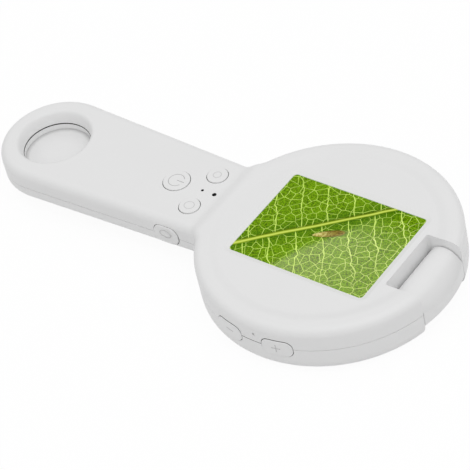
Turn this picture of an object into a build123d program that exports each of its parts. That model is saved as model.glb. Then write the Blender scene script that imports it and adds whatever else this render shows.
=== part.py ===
from build123d import *
import math
import os

# Handheld LCD microscope: a round head with a screen, a flat handle with a finger eye, and a stand
# that folds out of the head's underside on a hinge pin at the front rim.
# Millimetres. +Z up, the handle points to -X, and z = 0 is the flat underside of the head.

# ---------------------------------------------------------------- driving dimensions
total_length = 167.85
head_radius = 41.4
head_x = total_length / 2 - head_radius
crown_z = 17.5
crown_radius = 37.0
plateau_z = 17.3
plateau_radius = 33.6
parting_z = 9.7
drum_foot_radius = 5.0
slab_inset = 0.05
wall = 1.8

handle_top_z = 16.0
handle_bottom_z = 4.9
handle_edge_radius = 2.4
rim_edge_radius = 2.8
handle_end_radius = 18.95
handle_end_x = head_x - head_radius - total_length + 2 * head_radius + handle_end_radius
handle_root_radius = 15.65
handle_root_x = head_x - 30.0
inner_corner_radius = 7.0
ramp_low_x = head_x - 42.0
ramp_high_x = head_x - 36.5
handle_ceiling_z = 14.4
head_ceiling_z = 15.3
handle_floor_z = 6.7
head_floor_z = 1.8

seam_gap = 0.1
seam_depth = 0.3
gap = 0.2

eye_x = head_x - 108.2
eye_radius = 11.25
eye_rim_width = 1.9
eye_floor_z = 9.1
eye_web = 1.7
eye_seam_z = 11.4
eye_seam_gap = 0.35

window_length = 48.8
window_width = 36.5
window_corner = 1.2
glass_top_z = 16.5
window_lip_z = 16.75
window_slope = 1.6
glass_thickness = 1.0
glass_margin = 1.3

notch_y = 0.95
notch_half_width = 11.55
notch_wall_x = head_x + 27.85
notch_corner = 0.6
notch_wall = 1.6

hinge_x = head_x + 33.85
hinge_z = 8.6
knuckle_radius = 5.8
knuckle_room = 0.35
shoulder_angle = 34.0
nose_reach = 0.4
nose_high_z = 6.4
nose_low_z = 5.0
nose_edge_radius = 0.3
pin_radius = 1.0
pin_half_length = 13.9
running_gap = 0.04
ear_half_width = 15.0
stand_half_width = 11.25
stand_tip_x = head_x - 12.6
stand_low_z = 0.6
stand_bend_x = head_x + 35.0
stand_bend_z = 2.6
stand_high_z = 4.0
stand_pocket_z = 4.6
stand_pocket_plate = 1.6
stand_tip_radius = 8.0

big_button_x = head_x - 57.9
big_button_radius = 4.6
small_button_x = head_x - 47.25
small_button_y = 7.55
small_button_radius = 3.6
button_flange = 0.9
light_hole_x = head_x - 47.7
light_hole_radius = 0.5
sound_hole_x = head_x - 43.05
sound_hole_radius = 0.75

side_button_x = head_x - 51.1
side_button_z = 9.95
side_button_length = 9.6
side_button_height = 7.3
side_button_corner = 3.2

rim_button_angle = 12.2
rim_button_centre = -91.0
rim_button_z = 9.55
rim_button_length = 10.4
rim_button_height = 6.3
rim_button_corner = 2.6
reset_hole_angle = -89.1
reset_hole_z = 12.75
reset_hole_radius = 0.5

light_opening_radius = 9.0
lens_opening_radius = 3.6

socket_angle = 90.0
socket_z = parting_z
card_slot_angle = 112.0

head_posts = [(head_x + sx * 24.0, sy * 24.5) for sx in (-1, 1) for sy in (-1, 1)]
handle_posts = [(head_x - 89.6, -11.0), (head_x - 89.6, 11.0)]
screw_points = head_posts + handle_posts
post_radius = 2.6
pilot_radius = 1.1

# ---- inside
screen_tray_low_z = 12.4
board_low_z = 11.3
board_thickness = 0.8
board_radius = 37.0
small_board_low_z = 9.9
small_board_length = 23.0
small_board_x = head_x - 53.0
small_board_width = 25.0
light_board_z = 6.7
light_ring_radius = 6.3
barrel_radius = 3.5
lens_radius = 2.9
travel_room = 0.5
cap_flange_low_z = 13.2
cap_flange_thickness = 1.0
cap_top_z = 16.4
cap_proud = 0.3
cap_edge_radius = 0.3
switch_top_z = cap_flange_low_z - travel_room
main_bosses = [(head_x - 30.0, -14.0), (head_x - 30.0, 14.0), (head_x + 10.0, -30.0), (head_x + 10.0, 30.0)]
small_bosses = [(head_x - 62.0, -9.5), (head_x - 62.0, 9.5)]
boss_radius = 1.8
boss_pilot_radius = 0.7
sleeve_radius = 1.9
sleeve_inner_y = 4.4
sleeve_length = 6.0

os.makedirs("parts", exist_ok=True)


def finish(part, name):
    """Label a finished piece and write it under its own name."""
    part.label = name
    export_step(part, "parts/" + name + ".step")


# ---------------------------------------------------------------- plan outline
with BuildSketch() as handle_plan:
    with Locations((handle_end_x, 0)):
        Circle(handle_end_radius)
    with Locations((handle_root_x, 0)):
        Circle(handle_root_radius)
    make_hull()

with BuildSketch() as outline:
    with Locations((head_x, 0)):
        Circle(head_radius)
    add(handle_plan.sketch)
    inner_corners = outline.vertices().filter_by_position(Axis.X, head_x - 41.5, head_x - 36.0)
    fillet(inner_corners, inner_corner_radius)

with BuildSketch() as inner_outline:
    add(outline.sketch)
    offset(amount=-wall)

with BuildSketch() as seam_inner:
    add(outline.sketch)
    offset(amount=-seam_depth)

with BuildSketch() as seam_ring:
    Rectangle(2 * total_length, 4 * head_radius)
    add(seam_inner.sketch, mode=Mode.SUBTRACT)

# the lower slab stops just inside the drum of the head
with BuildSketch() as lower_outline:
    with Locations((head_x, 0)):
        Circle(head_radius - slab_inset)
    add(handle_plan.sketch)
    lower_corners = lower_outline.vertices().filter_by_position(Axis.X, head_x - 41.5, head_x - 36.0)
    fillet(lower_corners, inner_corner_radius)

# ---------------------------------------------------------------- outer form of each shell
with BuildPart() as upper_form:
    # side view of the slab: flat handle top, soft rise to the crown of the head
    with BuildSketch(Plane.XZ):
        with BuildLine():
            low = (ramp_low_x, handle_top_z)
            high = (ramp_high_x, crown_z)
            Spline(low, high, tangents=[(1, 0), (1, 0)])
            Polyline(high, (total_length, crown_z), (total_length, parting_z),
                     (-total_length, parting_z), (-total_length, handle_top_z), low)
        make_face()
    extrude(amount=2 * head_radius, both=True)
    with BuildSketch():
        add(outline.sketch)
    extrude(amount=2 * crown_z, mode=Mode.INTERSECT)
    top_edges = upper_form.edges().filter_by_position(Axis.Z, handle_top_z - 0.1, crown_z + 0.1)
    fillet(top_edges.filter_by(Axis.Y, reverse=True), rim_edge_radius)
    # plateau round the screen, a little lower than the crown of the rim
    with BuildSketch(Plane.XZ):
        with BuildLine():
            edge_in = (head_x + plateau_radius, plateau_z)
            edge_out = (head_x + crown_radius, crown_z)
            Polyline(edge_out, (edge_out[0], crown_z + 1), (head_x, crown_z + 1),
                     (head_x, plateau_z), edge_in)
            Spline(edge_in, edge_out, tangents=[(1, 0), (1, 0)])
        make_face()
    revolve(axis=Axis((head_x, 0, 0), (0, 0, 1)), mode=Mode.SUBTRACT)

with BuildPart() as lower_form:
    with BuildSketch(Plane.XY.offset(handle_bottom_z)):
        add(lower_outline.sketch)
    extrude(amount=parting_z - handle_bottom_z)
    fillet(lower_form.edges().group_by(Axis.Z)[0], handle_edge_radius)
    # drum of the head, rounded at its foot
    with BuildSketch(Plane.XZ):
        with BuildLine():
            foot = head_radius - drum_foot_radius
            Polyline((head_x, parting_z), (head_x, 0), (head_x + foot, 0))
            RadiusArc((head_x + foot, 0), (head_x + head_radius, drum_foot_radius), -drum_foot_radius)
            Polyline((head_x + head_radius, drum_foot_radius), (head_x + head_radius, parting_z),
                     (head_x, parting_z))
        make_face()
    revolve(axis=Axis((head_x, 0, 0), (0, 0, 1)))


# ---------------------------------------------------------------- openings shared by both shells
def rounded_prism(plane, length, height, corner, near, far):
    """A prism with rounded corners that runs from near to far along the plane's normal."""
    with BuildPart() as prism:
        with BuildSketch(plane.offset(near)):
            RectangleRounded(length, height, corner)
        extrude(amount=far - near)
    return prism.part


def rim_plane(angle, z):
    """A plane on the head's axis that looks out through the rim at the given angle."""
    out = (math.cos(math.radians(angle)), math.sin(math.radians(angle)), 0)
    along = (-out[1], out[0], 0)
    return Plane(origin=(head_x, 0, z), x_dir=along, z_dir=out)


side_plane = Plane(origin=(side_button_x, 0, side_button_z), x_dir=(1, 0, 0), z_dir=(0, -1, 0))
minus_plane = rim_plane(rim_button_centre - rim_button_angle, rim_button_z)
plus_plane = rim_plane(rim_button_centre + rim_button_angle, rim_button_z)
reset_plane = rim_plane(reset_hole_angle, reset_hole_z)
socket_plane = rim_plane(socket_angle, socket_z)
card_plane = rim_plane(card_slot_angle, parting_z + 0.7)

side_hole = rounded_prism(side_plane, side_button_length, side_button_height, side_button_corner, 12, 25)
minus_hole = rounded_prism(minus_plane, rim_button_length, rim_button_height, rim_button_corner, 34, 50)
plus_hole = rounded_prism(plus_plane, rim_button_length, rim_button_height, rim_button_corner, 34, 50)
socket_hole = rounded_prism(socket_plane, 9.3, 3.6, 1.75, 34, 50)
card_hole = rounded_prism(card_plane, 12.2, 1.4, 0.3, 34, 50)

# gap in the front rim that the hinge turns in
with BuildPart() as notch:
    with BuildSketch(Plane.XY.offset(-1)):
        with Locations((notch_wall_x + head_radius, notch_y)):
            RectangleRounded(2 * head_radius, 2 * notch_half_width, notch_corner)
    extrude(amount=2 * plateau_z)

hinge_plane = Plane.XZ.offset(-notch_y)

wall_holes = [side_hole, minus_hole, plus_hole, socket_hole, card_hole]

# ---------------------------------------------------------------- top shell
with BuildPart() as top_shell:
    add(upper_form.part)
    add(notch.part, mode=Mode.SUBTRACT)
    # room inside: handle and head share the lower part, the head goes higher
    with BuildSketch(Plane.XY.offset(parting_z)):
        add(inner_outline.sketch)
        with Locations((notch_wall_x + head_radius, notch_y)):
            Rectangle(2 * (head_radius + notch_wall), 2 * ear_half_width, mode=Mode.SUBTRACT)
        with Locations((eye_x, 0)):
            Circle(eye_radius + wall, mode=Mode.SUBTRACT)
    extrude(amount=handle_ceiling_z - parting_z, mode=Mode.SUBTRACT)
    with BuildSketch(Plane.XY.offset(parting_z)):
        with Locations((head_x, 0)):
            Circle(head_radius - wall - 0.8)
        with Locations((notch_wall_x + head_radius, notch_y)):
            Rectangle(2 * (head_radius + notch_wall), 2 * ear_half_width, mode=Mode.SUBTRACT)
        with Locations((ramp_low_x, 0)):
            Rectangle(2 * (ramp_high_x - ramp_low_x), 2 * head_radius, mode=Mode.SUBTRACT)
    extrude(amount=head_ceiling_z - parting_z, mode=Mode.SUBTRACT)
    # window, with a pocket for its glass from below
    with BuildSketch(Plane.XY.offset(head_ceiling_z)):
        with Locations((head_x, 0)):
            RectangleRounded(window_length, window_width, window_corner)
    extrude(amount=plateau_z, mode=Mode.SUBTRACT)
    # the plateau slopes down to the window on all sides
    with BuildSketch(Plane.XY.offset(window_lip_z)):
        with Locations((head_x, 0)):
            RectangleRounded(window_length, window_width, window_corner)
    with BuildSketch(Plane.XY.offset(2 * plateau_z - window_lip_z)):
        with Locations((head_x, 0)):
            RectangleRounded(window_length + 4 * window_slope, window_width + 4 * window_slope,
                             window_corner + 2 * window_slope)
    loft(ruled=True, mode=Mode.SUBTRACT)
    with BuildSketch(Plane.XY.offset(head_ceiling_z - 0.2)):
        with Locations((head_x, 0)):
            RectangleRounded(window_length + 2 * glass_margin + 0.2, window_width + 2 * glass_margin + 0.2,
                             window_corner)
    extrude(amount=glass_top_z - head_ceiling_z + 0.2, mode=Mode.SUBTRACT)
    # eye of the handle, open down to the seam, with a soft rim
    with BuildSketch(Plane.XY.offset(parting_z)):
        with Locations((eye_x, 0)):
            Circle(eye_radius + wall + 0.2)
    extrude(amount=eye_seam_z + eye_seam_gap - parting_z, mode=Mode.SUBTRACT)
    with BuildSketch(Plane.XZ):
        with BuildLine():
            bore_top = (eye_x + eye_radius, eye_seam_z)
            rim_out = (eye_x + eye_radius + eye_rim_width, handle_top_z)
            Polyline(rim_out, (rim_out[0], plateau_z), (eye_x, plateau_z), (eye_x, parting_z),
                     (bore_top[0], parting_z), bore_top)
            Spline(bore_top, rim_out, tangents=[(0, 1), (1, 0)], tangent_scalars=[1.2, 0.8])
        make_face()
    revolve(axis=Axis((eye_x, 0, 0), (0, 0, 1)), mode=Mode.SUBTRACT)
    # button, light and sound holes in the handle top
    with BuildSketch(Plane.XY.offset(handle_ceiling_z - 0.5)):
        with Locations((big_button_x, 0)):
            Circle(big_button_radius)
        with Locations((small_button_x, small_button_y), (small_button_x, -small_button_y)):
            Circle(small_button_radius)
        with Locations((light_hole_x, 0)):
            Circle(light_hole_radius)
        with Locations((sound_hole_x, 0)):
            Circle(sound_hole_radius)
    extrude(amount=plateau_z, mode=Mode.SUBTRACT)
    for hole in wall_holes:
        add(hole, mode=Mode.SUBTRACT)
    with BuildSketch(reset_plane.offset(head_radius - 5)):
        Circle(reset_hole_radius)
    extrude(amount=10, mode=Mode.SUBTRACT)
    # posts that the shell screws bite into
    with BuildSketch(Plane.XY.offset(parting_z)):
        with Locations(*head_posts):
            Circle(post_radius)
    extrude(amount=head_ceiling_z + 0.5 - parting_z)
    with BuildSketch(Plane.XY.offset(parting_z)):
        with Locations(*handle_posts):
            Circle(post_radius)
    extrude(amount=handle_ceiling_z + 0.5 - parting_z)
    with BuildSketch(Plane.XY.offset(parting_z)):
        with Locations(*screw_points):
            Circle(pilot_radius)
    extrude(amount=4.2, mode=Mode.SUBTRACT)
    # bosses that carry the main board under the ceiling of the head
    with BuildSketch(Plane.XY.offset(board_low_z + board_thickness)):
        with Locations(*main_bosses):
            Circle(boss_radius)
    extrude(amount=head_ceiling_z + 0.5 - board_low_z - board_thickness)
    with BuildSketch(Plane.XY.offset(board_low_z + board_thickness)):
        with Locations(*main_bosses):
            Circle(boss_pilot_radius)
    extrude(amount=2.8, mode=Mode.SUBTRACT)
    # reveal along the parting line
    with BuildSketch(Plane.XY.offset(parting_z)):
        add(seam_ring.sketch)
    extrude(amount=seam_gap, mode=Mode.SUBTRACT)
finish(top_shell.part, "top_shell")

# ---------------------------------------------------------------- bottom shell
with BuildPart() as bottom_shell:
    add(lower_form.part)
    add(notch.part, mode=Mode.SUBTRACT)
    # room inside the handle and over the stand pocket
    with BuildSketch(Plane.XY.offset(handle_floor_z)):
        add(inner_outline.sketch)
        with Locations((notch_wall_x + head_radius, notch_y)):
            Rectangle(2 * (head_radius + notch_wall), 2 * ear_half_width, mode=Mode.SUBTRACT)
        with Locations((eye_x, 0)):
            Circle(eye_radius + wall, mode=Mode.SUBTRACT)
    extrude(amount=plateau_z, mode=Mode.SUBTRACT)
    # deeper room in the head, left and right of the stand pocket
    with BuildSketch(Plane.XY.offset(head_floor_z)):
        with Locations((head_x, 0)):
            Circle(head_radius - wall - 2.4)
        with Locations(((stand_tip_x + total_length) / 2, notch_y)):
            Rectangle(total_length - stand_tip_x + 2 * wall, 2 * (notch_half_width + wall),
                      mode=Mode.SUBTRACT)
        with Locations((notch_wall_x + head_radius, notch_y)):
            Rectangle(2 * (head_radius + notch_wall), 2 * ear_half_width, mode=Mode.SUBTRACT)
        with Locations((stand_tip_x - 1, notch_y)):
            Circle(notch_half_width + wall - 1.0, mode=Mode.SUBTRACT)
    extrude(amount=handle_floor_z - head_floor_z, mode=Mode.SUBTRACT)
    # pocket for the folded stand, with a scoop for a fingertip at its end
    with BuildSketch():
        with Locations(((stand_tip_x - 0.4 + notch_wall_x + 1) / 2, notch_y)):
            RectangleRounded(notch_wall_x + 1 - stand_tip_x + 0.4, 2 * notch_half_width, stand_tip_radius)
        with Locations((notch_wall_x - 4, notch_y)):
            Rectangle(10, 2 * notch_half_width)
    extrude(amount=stand_pocket_z, mode=Mode.SUBTRACT)
    with Locations((stand_tip_x - 1.5, notch_y, -7.0)):
        Sphere(10.0, mode=Mode.SUBTRACT)
    # opening for the light ring and the objective
    with BuildSketch():
        with Locations((head_x, 0)):
            Circle(light_opening_radius)
    extrude(amount=handle_floor_z, mode=Mode.SUBTRACT)
    # cup of the handle eye: wall up to the seam, web across it, shallow dish below
    with BuildSketch(Plane.XY.offset(handle_bottom_z)):
        with Locations((eye_x, 0)):
            Circle(eye_radius + wall - 0.2)
    extrude(amount=eye_seam_z - handle_bottom_z)
    with BuildSketch(Plane.XY.offset(eye_floor_z)):
        with Locations((eye_x, 0)):
            Circle(eye_radius)
    extrude(amount=plateau_z, mode=Mode.SUBTRACT)
    with BuildSketch():
        with Locations((eye_x, 0)):
            Circle(eye_radius)
    extrude(amount=eye_floor_z - eye_web, mode=Mode.SUBTRACT)
    # posts for the screws, with their heads sunk from below
    with BuildSketch(Plane.XY.offset(head_floor_z)):
        with Locations(*head_posts):
            Circle(post_radius + 0.8)
    extrude(amount=parting_z - head_floor_z)
    with BuildSketch(Plane.XY.offset(handle_bottom_z + 0.5)):
        with Locations(*handle_posts):
            Circle(post_radius + 0.8)
    extrude(amount=parting_z - handle_bottom_z - 0.5)
    with BuildSketch():
        with Locations(*screw_points):
            Circle(1.3)
    extrude(amount=parting_z, mode=Mode.SUBTRACT)
    with BuildSketch():
        with Locations(*head_posts):
            Circle(2.4)
    extrude(amount=5.0, mode=Mode.SUBTRACT)
    with BuildSketch():
        with Locations(*handle_posts):
            Circle(2.4)
    extrude(amount=7.2, mode=Mode.SUBTRACT)
    for hole in wall_holes:
        add(hole, mode=Mode.SUBTRACT)
    # bosses that the button board rests on
    with BuildSketch(Plane.XY.offset(handle_floor_z - 0.5)):
        with Locations(*small_bosses):
            Circle(boss_radius)
    extrude(amount=small_board_low_z - handle_floor_z + 0.5)
    with BuildSketch(Plane.XY.offset(handle_floor_z + 0.5)):
        with Locations(*small_bosses):
            Circle(boss_pilot_radius)
    extrude(amount=small_board_low_z, mode=Mode.SUBTRACT)
    # room for the barrel in the inner wall of the notch
    with BuildSketch(hinge_plane):
        with Locations((hinge_x, hinge_z)):
            Circle(knuckle_radius + knuckle_room)
    extrude(amount=notch_half_width, both=True, mode=Mode.SUBTRACT)
    # slots in both ears that the hinge pin drops into
    with BuildSketch(hinge_plane):
        with Locations((hinge_x, hinge_z)):
            Circle(pin_radius)
        with Locations((hinge_x, hinge_z + 2)):
            Rectangle(2 * pin_radius, 4)
    extrude(amount=pin_half_length, both=True, mode=Mode.SUBTRACT)
    # reveal along the parting line
    with BuildSketch(Plane.XY.offset(parting_z - seam_gap)):
        add(seam_ring.sketch)
    extrude(amount=seam_gap, mode=Mode.SUBTRACT)
finish(bottom_shell.part, "bottom_shell")


# ---------------------------------------------------------------- small shapes used again and again
def plate(x, y, length, width, corner, low, high):
    """A flat piece with rounded corners that fills one range of heights."""
    with BuildPart() as piece:
        with BuildSketch(Plane.XY.offset(low)):
            with Locations((x, y)):
                RectangleRounded(length, width, corner)
        extrude(amount=high - low)
    return piece.part


def discs(points, radius, low, high):
    """Round pieces of one size at several places."""
    with BuildPart() as piece:
        with BuildSketch(Plane.XY.offset(low)):
            with Locations(*points):
                Circle(radius)
        extrude(amount=high - low)
    return piece.part


def ring(x, outer, inner, low, high):
    """A flat ring about an upright axis."""
    with BuildPart() as piece:
        with BuildSketch(Plane.XY.offset(low)):
            with Locations((x, 0)):
                Circle(outer)
                Circle(inner, mode=Mode.SUBTRACT)
        extrude(amount=high - low)
    return piece.part


# ---------------------------------------------------------------- screen
glass_length = window_length + 2 * glass_margin
glass_width = window_width + 2 * glass_margin
finish(plate(head_x, 0, glass_length, glass_width, window_corner, glass_top_z - glass_thickness, glass_top_z),
       "cover_glass")
finish(plate(head_x, 0, 51.0, 41.0, 0.5, 13.8, 15.2), "lcd_panel")

with BuildPart() as backlight_frame:
    add(plate(head_x, 0, 52.2, 42.6, 0.8, screen_tray_low_z, 14.9))
    add(plate(head_x, 0, 51.2, 41.2, 0.6, 13.8, 16), mode=Mode.SUBTRACT)
finish(backlight_frame.part, "backlight_frame")

# ---------------------------------------------------------------- main board and what it carries
with BuildPart() as main_board:
    with BuildSketch(Plane.XY.offset(board_low_z)):
        with Locations((head_x, 0)):
            Circle(board_radius)
        with Locations((head_x + 25.9 + board_radius, notch_y)):
            Rectangle(2 * board_radius, 2 * ear_half_width + 1, mode=Mode.SUBTRACT)
        with Locations(*head_posts):
            Circle(post_radius + 0.8, mode=Mode.SUBTRACT)
        with Locations(*main_bosses):
            Circle(1.0, mode=Mode.SUBTRACT)
    extrude(amount=board_thickness)
finish(main_board.part, "main_board")

chip_sizes = [(-18, 3, 9, 9), (-17, -12, 6, 7), (16, 14, 7, 7),
              (15, -14, 5, 8), (-3, -20, 6, 4), (19, 2, 4, 6)]
with BuildPart() as board_chips:
    for chip_x, chip_y, chip_length, chip_width in chip_sizes:
        add(plate(head_x + chip_x, chip_y, chip_length, chip_width, 0.2, board_low_z - 1.1, board_low_z))
finish(board_chips.part, "board_chips")

finish(plate(head_x, 0, 9.0, 9.0, 0.2, 10.5, board_low_z), "image_sensor")

with BuildPart() as lens_holder:
    add(plate(head_x, 0, 13.0, 13.0, 1.0, 7.5, board_low_z))
    add(plate(head_x, 0, 9.4, 9.4, 0.2, 10.2, board_low_z), mode=Mode.SUBTRACT)
    with Locations((head_x, 0, 9.0)):
        Cylinder(barrel_radius + 0.05, 4, mode=Mode.SUBTRACT)
finish(lens_holder.part, "lens_holder")

finish(ring(head_x, barrel_radius, lens_radius, 4.9, 10.0), "lens_barrel")


def lens(low, edge, bulge):
    """A lens that is flat above and domed below."""
    with BuildPart() as piece:
        with BuildSketch(Plane.XZ):
            with BuildLine():
                ThreePointArc((head_x, low), (head_x + lens_radius / 2, low + bulge / 4),
                              (head_x + lens_radius, low + bulge))
                Polyline((head_x + lens_radius, low + bulge), (head_x + lens_radius, low + bulge + edge),
                         (head_x, low + bulge + edge), (head_x, low))
            make_face()
        revolve(axis=Axis((head_x, 0, 0), (0, 0, 1)))
    return piece.part


finish(lens(5.2, 0.8, 0.6), "front_lens")
finish(lens(8.2, 0.9, 0.4), "rear_lens")

# ---------------------------------------------------------------- ring light round the objective
finish(ring(head_x, 11.5, barrel_radius + 0.4, light_board_z, light_board_z + 0.8), "light_board")

with BuildPart() as light_leds:
    with BuildSketch(Plane.XY.offset(light_board_z - 0.8)):
        with Locations((head_x, 0)):
            with PolarLocations(light_ring_radius, 8):
                Rectangle(1.6, 1.6)
    extrude(amount=0.8)
finish(light_leds.part, "light_leds")

finish(ring(head_x, light_opening_radius, barrel_radius + 0.2, stand_pocket_z + 0.1, stand_pocket_z + 0.9),
       "light_diffuser")

# ---------------------------------------------------------------- battery and button board in the handle
finish(plate(head_x - 75.6, 0, 19.6, 28.0, 1.0, handle_floor_z, handle_floor_z + 6.4), "battery")

with BuildPart() as button_board:
    add(plate(small_board_x, 0, small_board_length, small_board_width, 0.8, small_board_low_z,
              small_board_low_z + board_thickness))
    add(discs(small_bosses, 1.0, small_board_low_z, small_board_low_z + board_thickness), mode=Mode.SUBTRACT)
finish(button_board.part, "button_board")

small_board_top_z = small_board_low_z + board_thickness
top_points = [(big_button_x, 0), (small_button_x, small_button_y), (small_button_x, -small_button_y)]
with BuildPart() as top_switches:
    for point in top_points:
        add(plate(point[0], point[1], 4.5, 4.5, 0.3, small_board_top_z, small_board_top_z + 1.2))
    add(discs(top_points, 1.1, small_board_top_z + 1.2, switch_top_z))
finish(top_switches.part, "top_switches")

finish(plate(light_hole_x, 0, 1.6, 0.9, 0.1, small_board_top_z, small_board_top_z + 0.6), "status_led")

with BuildPart() as light_pipe:
    add(discs([(light_hole_x, 0)], light_hole_radius - 0.1, small_board_top_z + 0.8, handle_top_z - 0.9))
    add(discs([(light_hole_x, 0)], 1.2, handle_ceiling_z - 0.8, handle_ceiling_z))
finish(light_pipe.part, "light_pipe")

finish(discs([(sound_hole_x, 0)], 2.0, small_board_top_z, small_board_top_z + 1.4), "microphone")
finish(ring(sound_hole_x, 2.0, 0.9, small_board_top_z + 1.4, handle_ceiling_z), "microphone_boot")

# ---------------------------------------------------------------- switches behind the wall buttons
side_flange_face = 13.4
side_switch_face = 12.2
rim_flange_face = 37.6
rim_switch_face = 36.4
switch_depth = 2.6
with BuildPart() as side_switch:
    add(plate(side_button_x, 1.6 - side_switch_face, 5.0, 3.2, 0.3,
              small_board_low_z - switch_depth, small_board_low_z))
    with BuildSketch(side_plane.offset(side_switch_face)):
        with Locations((0, small_board_low_z - 1.3 - side_button_z)):
            Circle(0.8)
    extrude(amount=side_flange_face - travel_room - side_switch_face)
finish(side_switch.part, "side_switch")

with BuildPart() as rim_switches:
    for plane in (minus_plane, plus_plane):
        with BuildSketch(plane.offset(rim_switch_face - switch_depth)):
            with Locations((0, board_low_z - 1.4 - rim_button_z)):
                RectangleRounded(6.0, 2.8, 0.3)
        extrude(amount=switch_depth)
        with BuildSketch(plane.offset(rim_switch_face)):
            with Locations((0, board_low_z - 1.4 - rim_button_z)):
                Circle(0.8)
        extrude(amount=rim_flange_face - travel_room - rim_switch_face)
finish(rim_switches.part, "rim_switches")

with BuildPart() as reset_switch:
    with BuildSketch(reset_plane.offset(32.8)):
        RectangleRounded(3.4, 1.3, 0.2)
    extrude(amount=3.4)
    with BuildSketch(reset_plane.offset(36.2)):
        Circle(0.45)
    extrude(amount=0.9)
finish(reset_switch.part, "reset_switch")

# ---------------------------------------------------------------- sockets in the rim
with BuildPart() as usb_port:
    add(rounded_prism(socket_plane, 8.94, 3.2, 1.5, 33.2, 40.6))
    add(rounded_prism(socket_plane, 8.3, 2.56, 1.2, 34.4, 42.0), mode=Mode.SUBTRACT)
    add(rounded_prism(socket_plane, 6.7, 0.7, 0.2, 33.9, 40.0))
finish(usb_port.part, "usb_port")

with BuildPart() as card_socket:
    with BuildSketch(card_plane.offset(23.4)):
        Rectangle(14.0, 1.8)
    extrude(amount=15.0)
    with BuildSketch(card_plane.offset(24.4)):
        Rectangle(11.4, 1.0)
    extrude(amount=20.0, mode=Mode.SUBTRACT)
finish(card_socket.part, "card_socket")

# ---------------------------------------------------------------- screws and plugs
with BuildPart() as shell_screws:
    add(discs(head_posts, 2.2, 3.4, 5.0))
    add(discs(head_posts, 1.0, 5.0, parting_z + 4.0))
    add(discs(handle_posts, 2.2, 5.6, 7.2))
    add(discs(handle_posts, 1.0, 7.2, parting_z + 4.0))
    for low, posts in ((3.4, head_posts), (5.6, handle_posts)):
        with BuildSketch(Plane.XY.offset(low)):
            with Locations(*posts):
                Rectangle(2.4, 0.6)
                Rectangle(0.6, 2.4)
        extrude(amount=0.8, mode=Mode.SUBTRACT)
finish(shell_screws.part, "shell_screws")

finish(discs(head_posts, 2.35, 0.05, 3.2), "foot_plugs")

with BuildPart() as board_screws:
    add(discs(main_bosses, 1.5, board_low_z - 0.8, board_low_z))
    add(discs(main_bosses, 0.65, board_low_z, board_low_z + 3.2))
    add(discs(small_bosses, 1.5, small_board_top_z, small_board_top_z + 0.8))
    add(discs(small_bosses, 0.65, small_board_top_z - 3.0, small_board_top_z))
finish(board_screws.part, "board_screws")

# ---------------------------------------------------------------- wiring
with BuildPart() as ribbon_connectors:
    add(plate(head_x - 43.0, 8.0, 2.0, 7.0, 0.2, small_board_top_z, small_board_top_z + 0.9))
    add(plate(head_x - 33.6, 8.0, 2.0, 7.0, 0.2, board_low_z - 0.9, board_low_z))
finish(ribbon_connectors.part, "ribbon_connectors")

finish(plate(head_x - 38.3, 8.0, 7.4, 5.6, 0.1, 10.9, 11.05), "button_ribbon")

with BuildPart() as battery_leads:
    for lead_y in (-4.0, 4.0):
        with BuildLine() as lead_path:
            Polyline((head_x - 65.8, lead_y, 11.6), (head_x - 62.6, lead_y, 11.6))
        with BuildSketch(Plane(origin=(head_x - 65.8, lead_y, 11.6), z_dir=(1, 0, 0))):
            Circle(0.45)
        sweep(path=lead_path.line)
        with BuildSketch(Plane.XY.offset(small_board_top_z)):
            with Locations((head_x - 62.7, lead_y)):
                Circle(0.6)
        extrude(amount=0.6)
finish(battery_leads.part, "battery_leads")

# ---------------------------------------------------------------- stand and its hinge
with BuildPart() as stand:
    with BuildSketch(hinge_plane):
        with BuildLine():
            lean = math.radians(shoulder_angle)
            back = (hinge_x - knuckle_radius, hinge_z)
            shoulder = (hinge_x + knuckle_radius * math.cos(lean), hinge_z + knuckle_radius * math.sin(lean))
            nose = (head_x + head_radius + nose_reach, nose_high_z)
            ThreePointArc(back, (hinge_x, hinge_z + knuckle_radius), shoulder)
            Spline(shoulder, nose, tangents=[(math.sin(lean), -math.cos(lean)), (0, -1)])
            Polyline(nose, (nose[0], nose_low_z), (stand_bend_x + 1.2, nose_low_z),
                     (stand_bend_x, stand_bend_z), (stand_bend_x - 1.4, stand_low_z),
                     (stand_tip_x, stand_low_z), (stand_tip_x, stand_high_z),
                     (notch_wall_x + 0.8, stand_high_z), back)
        make_face()
    extrude(amount=stand_half_width, both=True)
    with BuildSketch():
        with Locations((head_x, 0)):
            Circle(head_radius)
        with Locations(((stand_tip_x + head_x + 60) / 2, notch_y)):
            RectangleRounded(head_x + 60 - stand_tip_x, 2 * stand_half_width, stand_tip_radius,
                             mode=Mode.INTERSECT)
    extrude(amount=plateau_z, mode=Mode.INTERSECT)
    nose_edges = stand.edges().filter_by(GeomType.CIRCLE).filter_by_position(Axis.Z, nose_low_z, nose_low_z)
    fillet(nose_edges, nose_edge_radius)
    # bore for the pin, wider at both ends for the friction sleeves
    with BuildSketch(hinge_plane):
        with Locations((hinge_x, hinge_z)):
            Circle(pin_radius + 0.3)
    extrude(amount=ear_half_width, both=True, mode=Mode.SUBTRACT)
    for side in (-1, 1):
        with BuildSketch(hinge_plane.offset(side * sleeve_inner_y)):
            with Locations((hinge_x, hinge_z)):
                Circle(sleeve_radius)
        extrude(amount=side * sleeve_length, mode=Mode.SUBTRACT)
    # recess for the pad under the tip
    add(plate(stand_tip_x + 4.0, notch_y, 3.4, 11.4, 1.5, stand_low_z - 1, stand_low_z + 0.4),
        mode=Mode.SUBTRACT)
finish(stand.part, "stand")

finish(plate(stand_tip_x + 4.0, notch_y, 3.2, 11.2, 1.4, stand_low_z - 0.3, stand_low_z + 0.4), "stand_pad")

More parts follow.
